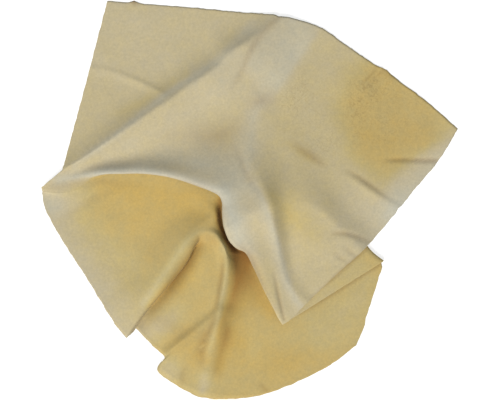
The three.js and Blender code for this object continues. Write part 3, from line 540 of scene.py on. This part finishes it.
# tone over plan points: the plain tone, the bands and soft-edged patches that fade as
# (1 - tanh(over / 2 soft)) / 2, with over the distance past the patch's rim
def toneAt(tone, xy):
    amount = np.full(xy.shape[:-1], tone["plain"], float)
    amount += bandSum(tone["bands"], xy)
    for x, y, long, wide, turn, soft, change in tone["patches"]:
        along = (xy - [x, y]) @ leanOf(turn)
        across = (xy - [x, y]) @ leanOf(turn + 90)
        over = (np.hypot(along / long, across / wide) - 1) * np.sqrt(long * wide)
        amount += change * (1 - np.tanh(over / (2 * soft))) / 2
    return amount


# painted light and soil over plan points of one panel: its bands, and painted shade of so much for each
# millimetre of depth in its creases
def paintedLightAndSoilAt(bands, creases, xy):
    depth = sum(np.minimum(crestHeight(creaseCrest(crease), xy), 0) for crease in creases)
    return bandSum(bands, xy) - skin["paintedLightAndSoil"]["groove"] * depth


# tone, painted light and soil, and grain of every point of the face: in the pleat the upper panel's tone
# turns into the lower one's
def faceLooks(face):
    paintedLightAndSoil = skin["paintedLightAndSoil"]
    rows = skin["upperRows"]
    lowerStart = len(face) - skin["lowerRows"]
    plan = face[..., :2]
    upper = toneAt(skin["upperTone"], plan[:lowerStart])
    lower = toneAt(skin["lowerTone"], plan[lowerStart:])
    turned = np.clip(np.linspace(*skin["toneTurn"], lowerStart - rows), 0, 1)[:, None]
    upper[rows:] += turned * (lower[0] - upper[rows:])
    dark = np.concatenate([paintedLightAndSoilAt(paintedLightAndSoil["upperBands"], skin["upperCreases"], plan[:lowerStart]),
                           paintedLightAndSoilAt(paintedLightAndSoil["lowerBands"], skin["lowerCreases"], plan[lowerStart:])])
    # painted shade along the cut edge and one row in
    for inwards, amount in enumerate(paintedLightAndSoil["edge"]):
        ends = [inwards, -1 - inwards]
        dark[ends] = np.maximum(dark[ends], amount)
        dark[:, ends] = np.maximum(dark[:, ends], amount)
    x, y, radius = paintedLightAndSoil["fleck"]
    dark[:rows] += np.exp(-((plan[:rows] - [x, y])**2).sum(-1) / radius**2)
    grain = np.zeros(dark.shape)
    grain[:rows] = toneAt(skin["hideGrain"], plan[:rows])
    return np.concatenate([upper, lower]), np.clip(dark, *paintedLightAndSoil["range"]), grain


# the crests that follow the pleat: the brow where it starts and the step over its inner bend, past which
# the panel stays up
def pleatCrests():
    x, y, turn, reach, top, _, _, browHeight, browWidth, ride, step = np.asarray(skin["pleat"], float).T
    fold = np.stack([x, y], 1)
    start = fold - top[:, None] * leanOf(turn)
    brow = {"rounding": skin["browRounding"], "straight": skin["browStraight"],
            "line": np.column_stack([start, browHeight, browWidth, browWidth])}
    inner = fold + (reach - top + skin["tuckBack"])[:, None] * leanOf(turn)
    line = np.column_stack([inner, ride, step, np.full(len(inner), skin["tuckStays"])])
    tuck = {"rounding": skin["tuckRounding"], "line": line[skin["firstTucked"]:]}
    return [brow, tuck]


# height of the upper panel's face: a flat panel plus every crest and crease and its unevenness
def upperHeight(xy):
    crests = pleatCrests() + list(skin["upperCrests"].values())
    crests += [creaseCrest(crease) for crease in skin["upperCreases"]]
    height = crestSum(crests, xy) + unevenHeight(xy, skin["uneven"]["upperSeed"])
    return flat + np.maximum(height, 0)


# columns spread over the spans between stations by the longer cut edge, so that cells stay even; each
# span has an even number, so that the under face can take every second one
def columnPlaces():
    edge = np.asarray(skin["edge"], float)
    upper = np.hypot(*np.diff(edge[:, :2], axis=0).T)
    lower = np.hypot(*np.diff(edge[:, 2:4], axis=0).T)
    length = np.maximum(upper, lower)
    pairs = np.round(skin["columnPairs"] * length / length.sum())
    pairs = np.maximum(skin["leastPairs"], pairs).astype(int)
    places = [span + np.arange(2 * count) / (2 * count) for span, count in enumerate(pairs)]
    return np.concatenate(places + [[len(pairs)]])


# the pleat in the upright plane of its lean: an arc over, a straight run and an arc back, whose swing
# follows from how far and how deep the pleat goes; the run's rows lie closer towards its ends, as a
# cosine does
def pleatGrid(places):
    foldX, foldY, turn, reach, top, foot, low = curveThrough(skin["pleat"], places)[:, :7].T
    lean = leanOf(turn)
    start = np.stack([foldX, foldY], 1) - top[:, None] * lean
    startHeight = upperHeight(start)
    depth = startHeight - flat - low
    room = skin["bendRoom"] * (reach**2 + depth**2) / (2 * depth)
    fit = np.minimum(1, room / (top + foot))
    top, foot = fit * top, fit * foot
    drop = depth - top - foot
    run = np.sqrt(reach**2 + drop**2 - (top + foot)**2)
    swing = np.arctan2(drop, reach) + np.arctan2(top + foot, run)
    angle = swing * np.linspace(0, 1, skin["arcRows"])[:, None]
    over = np.stack([top * np.sin(angle), top * (1 - np.cos(angle))])
    back = np.stack([reach - foot * np.sin(angle), depth - foot * (1 - np.cos(angle))])
    share = np.linspace(0, np.pi, skin["runRows"] + 2)[1:-1, None]
    between = over[:, -1:] + (1 - np.cos(share)) / 2 * (back[:, -1:] - over[:, -1:])
    out, down = np.concatenate([over, between, back[:, ::-1]], 1)
    return np.concatenate([start + out[..., None] * lean, (startHeight - down)[..., None]], 2)


# the lower panel: rings from the pleat's foot to the cut edge, smooth along the ribs' points and down the
# ribs, with the panel's own crests on top, which set in between the first ring and the second. Where
# there is no rib the panel runs straight to the edge and falls as a parabola does
def lowerGrid(places, foot):
    edge = np.asarray(skin["edge"], float)[:, 2:] + [0, 0, flat]
    ribs = np.asarray(skin["ribs"], float) + [0, 0, flat]
    ringCount = ribs.shape[1] + 1
    stationFoot = pleatGrid(np.arange(len(edge)))[-1]
    share = np.linspace(0, 1, ringCount + 1)[1:, None, None]
    fall = 1 - (1 - share)**2
    net = np.concatenate([stationFoot[:, :2] + share * (edge[:, :2] - stationFoot[:, :2]),
                          stationFoot[:, 2:] + fall * (edge[:, 2:] - stationFoot[:, 2:])], 2)
    net[:-1, skin["firstRib"]:skin["firstRib"] + len(ribs)] = ribs.transpose(1, 0, 2)
    rings = [curveThrough(ring, places) for ring in net[:-1]]
    edgeRing = curveThrough(net[-1], places, skin["lowerCorners"])
    rings.append(unevenEdge(edgeRing, skin["lowerEdgeBumps"], skin["uneven"]["lowerEdgeSeed"]))
    fromPleat = np.linspace(0, ringCount, skin["lowerRows"] + 1)[1:]
    lower = curveThrough(np.stack([foot] + rings), fromPleat)
    plan = lower[..., :2]
    crests = list(skin["lowerCrests"].values())
    crests += [creaseCrest(crease) for crease in skin["lowerCreases"]]
    raised = crestSum(crests, plan) + unevenHeight(plan, skin["uneven"]["lowerSeed"])
    setIn = np.clip(fromPleat - 1, 0, 1)[:, None]
    lower[..., 2] = np.maximum(lower[..., 2] + raised * setIn, flat)
    lean = skin["archLean"]
    lower[..., :2] += crestHeight(lean, plan)[..., None] * leanOf(lean["turn"])
    return lower


# the whole face as rows by columns of points, in millimetres: the upper panel runs straight in plan from
# the cut edge to the pleat
def skinFace():
    places = columnPlaces()
    pleat = pleatGrid(places)
    upperEdge = curveThrough(np.asarray(skin["edge"], float)[:, :2], places, skin["upperCorners"])
    upperEdge = unevenEdge(upperEdge, skin["upperEdgeBumps"], skin["uneven"]["upperEdgeSeed"])
    share = np.linspace(0, 1, skin["upperRows"], endpoint=False)[:, None, None]
    plan = upperEdge + share * (pleat[0, :, :2] - upperEdge)
    upper = np.concatenate([plan, upperHeight(plan)[..., None]], 2)
    return np.concatenate([upper, pleat, lowerGrid(places, pleat[-1])])


# unit normals from the steps across and down the grid
def gridNormals(face):
    down, across = np.gradient(face, axis=(0, 1))
    normal = np.cross(down, across)
    return normal / np.linalg.norm(normal, axis=2, keepdims=True)


# the four corners of every cell of a grid
def gridQuads(index):
    corners = [index[:-1, :-1], index[1:, :-1], index[1:, 1:], index[:-1, 1:]]
    return np.stack(corners, -1).reshape(-1, 4)


# places round a grid's border, each once
def gridBorder(index):
    return np.concatenate([index[:-1, 0], index[-1, :-1], index[:0:-1, -1], index[0, :0:-1]])


# closed solid: the face, an under face one thickness below every second point of it, and a rim round the
# cut edge that joins two steps of the face to one of the under face
def closedSheet(face, under):
    upper = np.arange(face.shape[0] * face.shape[1]).reshape(face.shape[:2])
    lower = upper.size + np.arange(under.shape[0] * under.shape[1]).reshape(under.shape[:2])
    fine = gridBorder(upper)
    coarse = gridBorder(lower)
    rim = np.stack([np.roll(fine, -2)[::2], np.roll(fine, -1)[::2], fine[::2],
                    coarse, np.roll(coarse, -1)], -1)
    points = np.concatenate([face.reshape(-1, 3), under.reshape(-1, 3)])
    return points, gridQuads(upper).tolist() + gridQuads(lower)[:, ::-1].tolist(), rim.tolist()


# the skin's mesh, with no point under the table, and its looks as attributes of its points
def makeSkin():
    face = skinFace()
    under = (face - gridNormals(face) * skin["thickness"])[::2, ::2]
    under[..., 2] = np.maximum(under[..., 2], 0)
    points, sides, rim = closedSheet(face, under)
    mesh = bpy.data.meshes.new("chamoisSkin")
    mesh.from_pydata((points * mm).tolist(), [], sides + rim)
    smooth = [True] * len(sides) + [False] * len(rim)       # the cut stays crisp
    mesh.polygons.foreach_set("use_smooth", smooth)
    # tone, painted shade and highlight with soil, and grain become attributes of the points
    for name, look in zip(("tone", "paintedLightAndSoil", "grain"), faceLooks(face)):
        values = np.concatenate([look.ravel(), look[::2, ::2].ravel()])
        mesh.attributes.new(name, "FLOAT", "POINT").data.foreach_set("value", values)
    mesh.update()
    piece = bpy.data.objects.new("chamoisSkin", mesh)
    scene.collection.objects.link(piece)
    return piece


chamois = makeSkin()
print("skin:", len(chamois.data.polygons), "faces")

# oil-tanned sheepskin split, buffed to a nap on both sides: matt, soft to the eye at its edges, cream
# where it is rubbed and ochre where the oil is deep, cloudy and finely mottled, with shade and highlights
# painted into its colour in the folds
chamoisLook = {
    # tone and its colour; the deep brown at 1.5 is painted shade in the slot and the trough
    "colours": [(0.0, "#B9B7A6"), (0.35, "#BAB092"), (0.7, "#B9A976"), (1.0, "#BDA25F"),
                (1.5, "#A98143")],
    # noises: size in mm, then how far each shifts the tone and the brightness
    "clouds": (28, 0.14, 0.05),
    "mottle": (7, 0.06, 0.08),
    "nap": (2.4, 0, 0.17),      # a real nap is under 0.5 mm: drawn coarser, so that it shows
    "noise": {"Detail": 3, "Roughness": 0.6},       # their finer layers
    "napBump": 0.09,            # mm
    "pebbles": (4, 0.3),        # size in mm and how dark the furrows between them are
    "pebbleTwist": 1.5,         # how far the noise is drawn askew
    "furrow": (0.5, 0.64),      # where the noise starts to be a furrow and where it is deepest
    "pebbleBump": 0.1,          # mm
    # the brown that painted shade and soil mix towards
    "shadeAndSoilColour": "#6A431E",
    "shadeAndSoilShare": 0.58,          # how far painted shade or soil of 1 hides the leather's colour
    "roughness": 0.95,
    "specular": 0.15,
    "sheen": 0.12,
    "sheenRoughness": 0.5,
    "sheenTint": "#FFF4E0",
}


# sRGB hex to linear: divide by 12.92 in the dark part, else a power of 2.4
def linearColour(hexText):
    channel = np.array([int(hexText[i:i + 2], 16) for i in (1, 3, 5)]) / 255
    linear = np.where(channel <= 0.04045, channel / 12.92, ((channel + 0.055) / 1.055)**2.4)
    return (*linear.tolist(), 1)


# a new node with its settings, its sockets' values and the sockets that feed it
def addNode(tree, kind, values=(), links=(), **settings):
    node = tree.nodes.new("ShaderNode" + kind)
    for name, setting in settings.items():
        setattr(node, name, setting)
    for socket, value in dict(values).items():
        node.inputs[socket].default_value = value
    for socket, source in dict(links).items():
        tree.links.new(source, node.inputs[socket])
    return node


def makeChamois(look):
    material = bpy.data.materials.new("napChamois")
    material.use_nodes = True
    tree = material.node_tree
    shader = tree.nodes["Principled BSDF"]
    place = addNode(tree, "TexCoord").outputs["Object"]
    tone = addNode(tree, "Attribute", attribute_name="tone").outputs["Fac"]
    # painted shade and highlights, with the leather's own soil, from the points' attribute
    dark = addNode(tree, "Attribute", attribute_name="paintedLightAndSoil").outputs["Fac"]
    grainy = addNode(tree, "Attribute", attribute_name="grain").outputs["Fac"]

    # furrows between the pebbles, where the hide kept its grain, are added to the painted shade and soil
    pebbleSize, furrowDark = look["pebbles"]
    furrowStart, furrowFoot = look["furrow"]
    pebbles = addNode(tree, "TexNoise",
                      {"Scale": 1 / (pebbleSize * mm), "Distortion": look["pebbleTwist"]},
                      {"Vector": place})
    furrow = addNode(tree, "MapRange", {"From Min": furrowStart, "From Max": furrowFoot},
                     {"Value": pebbles.outputs["Fac"]})
    furrow = addNode(tree, "Math", links={0: furrow.outputs["Result"], 1: grainy}, operation="MULTIPLY")
    dark = addNode(tree, "Math", {1: furrowDark}, {0: furrow.outputs["Value"], 2: dark},
                   operation="MULTIPLY_ADD")
    hidden = addNode(tree, "Math", {1: look["shadeAndSoilShare"]}, {0: dark.outputs["Value"]},
                     operation="MULTIPLY")

    # each noise shifts the tone and the brightness to both sides
    noises = {}
    lights = []
    for name in ("clouds", "mottle", "nap"):
        size, toneShift, lightShift = look[name]
        noise = addNode(tree, "TexNoise", {"Scale": 1 / (size * mm), **look["noise"]}, {"Vector": place})
        noises[name] = noise.outputs["Fac"]
        shift = addNode(tree, "MapRange", {"To Min": -toneShift, "To Max": toneShift},
                        {"Value": noises[name]})
        light = addNode(tree, "MapRange", {"To Min": 1 - lightShift, "To Max": 1 + lightShift},
                        {"Value": noises[name]})
        tone = addNode(tree, "Math", links={0: tone, 1: shift.outputs["Result"]}).outputs["Value"]
        lights.append(light.outputs["Result"])

    # clean leather by its tone, then towards the brown of the painted shade and soil, then the brightness
    deepest = look["colours"][-1][0]
    share = addNode(tree, "Math", {1: deepest}, {0: tone}, operation="DIVIDE")
    ramp = addNode(tree, "ValToRGB", links={"Fac": share.outputs["Value"]})
    while len(ramp.color_ramp.elements) < len(look["colours"]):
        ramp.color_ramp.elements.new(1)
    for element, (position, colour) in zip(ramp.color_ramp.elements, look["colours"]):
        element.position = position / deepest
        element.color = linearColour(colour)
    clean = ramp.outputs["Color"]
    change = addNode(tree, "VectorMath", {0: linearColour(look["shadeAndSoilColour"])[:3]}, {1: clean},
                     operation="SUBTRACT")
    colour = addNode(tree, "VectorMath", operation="MULTIPLY_ADD",
                     links={0: change.outputs["Vector"], 1: hidden.outputs["Value"], 2: clean})
    for light in lights:
        colour = addNode(tree, "VectorMath", operation="MULTIPLY",
                         links={0: colour.outputs["Vector"], 1: light})

    bump = addNode(tree, "Bump", {"Distance": look["napBump"] * mm}, {"Height": noises["nap"]})
    bump = addNode(tree, "Bump", {"Distance": look["pebbleBump"] * mm},
                   {"Height": furrow.outputs["Value"], "Normal": bump.outputs["Normal"]}, invert=True)
    tree.links.new(colour.outputs["Vector"], shader.inputs["Base Color"])
    tree.links.new(bump.outputs["Normal"], shader.inputs["Normal"])
    shader.inputs["Roughness"].default_value = look["roughness"]
    shader.inputs["Specular IOR Level"].default_value = look["specular"]
    shader.inputs["Sheen Weight"].default_value = look["sheen"]
    shader.inputs["Sheen Roughness"].default_value = look["sheenRoughness"]
    shader.inputs["Sheen Tint"].default_value = linearColour(look["sheenTint"])
    return material


chamois.data.materials.append(makeChamois(chamoisLook))
print("chamois coloured")

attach(chamois, "root")
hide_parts("chamois_skin")

# pale table and soft light
studio = {
    "floorSize": 6.0,           # m
    "floorGrey": 0.4,
    "floorGlow": 0.72,          # keeps the table nearly white
    "sky": 0.38,
    "skyColour": "#EAF3FF",
    "keyStrength": 3.4,
    "keyColour": "#FFF8EF",
    "keyAngle": 0.5,            # how wide the light looks from the table, radians
    "keyFrom": (-0.32, -0.62, 0.716),
}


def addStudio():
    half = studio["floorSize"] / 2
    mesh = bpy.data.meshes.new("table")
    corners = [(-half, -half, 0), (half, -half, 0), (half, half, 0), (-half, half, 0)]
    mesh.from_pydata(corners, [], [(0, 1, 2, 3)])
    floor = bpy.data.objects.new("table", mesh)
    white = bpy.data.materials.new("litTable")
    white.use_nodes = True
    shader = white.node_tree.nodes["Principled BSDF"].inputs
    grey = studio["floorGrey"]
    shader["Base Color"].default_value = (grey, grey, grey, 1)
    shader["Roughness"].default_value = 1
    shader["Emission Color"].default_value = (1, 1, 1, 1)
    shader["Emission Strength"].default_value = studio["floorGlow"]
    mesh.materials.append(white)
    scene.collection.objects.link(floor)
    world = bpy.data.worlds.new("sky")
    scene.world = world
    world.use_nodes = True
    sky = world.node_tree.nodes["Background"].inputs
    sky["Color"].default_value = linearColour(studio["skyColour"])
    sky["Strength"].default_value = studio["sky"]
    data = bpy.data.lights.new("key", "SUN")
    data.angle = studio["keyAngle"]
    data.energy = studio["keyStrength"]
    data.color = linearColour(studio["keyColour"])[:3]
    key = bpy.data.objects.new("key", data)
    key.location = studio["keyFrom"]
    key.rotation_euler = (-Vector(studio["keyFrom"])).to_track_quat("-Z", "Y").to_euler()
    scene.collection.objects.link(key)
    scene.view_settings.view_transform = "Standard"


addStudio()
print("studio lit")
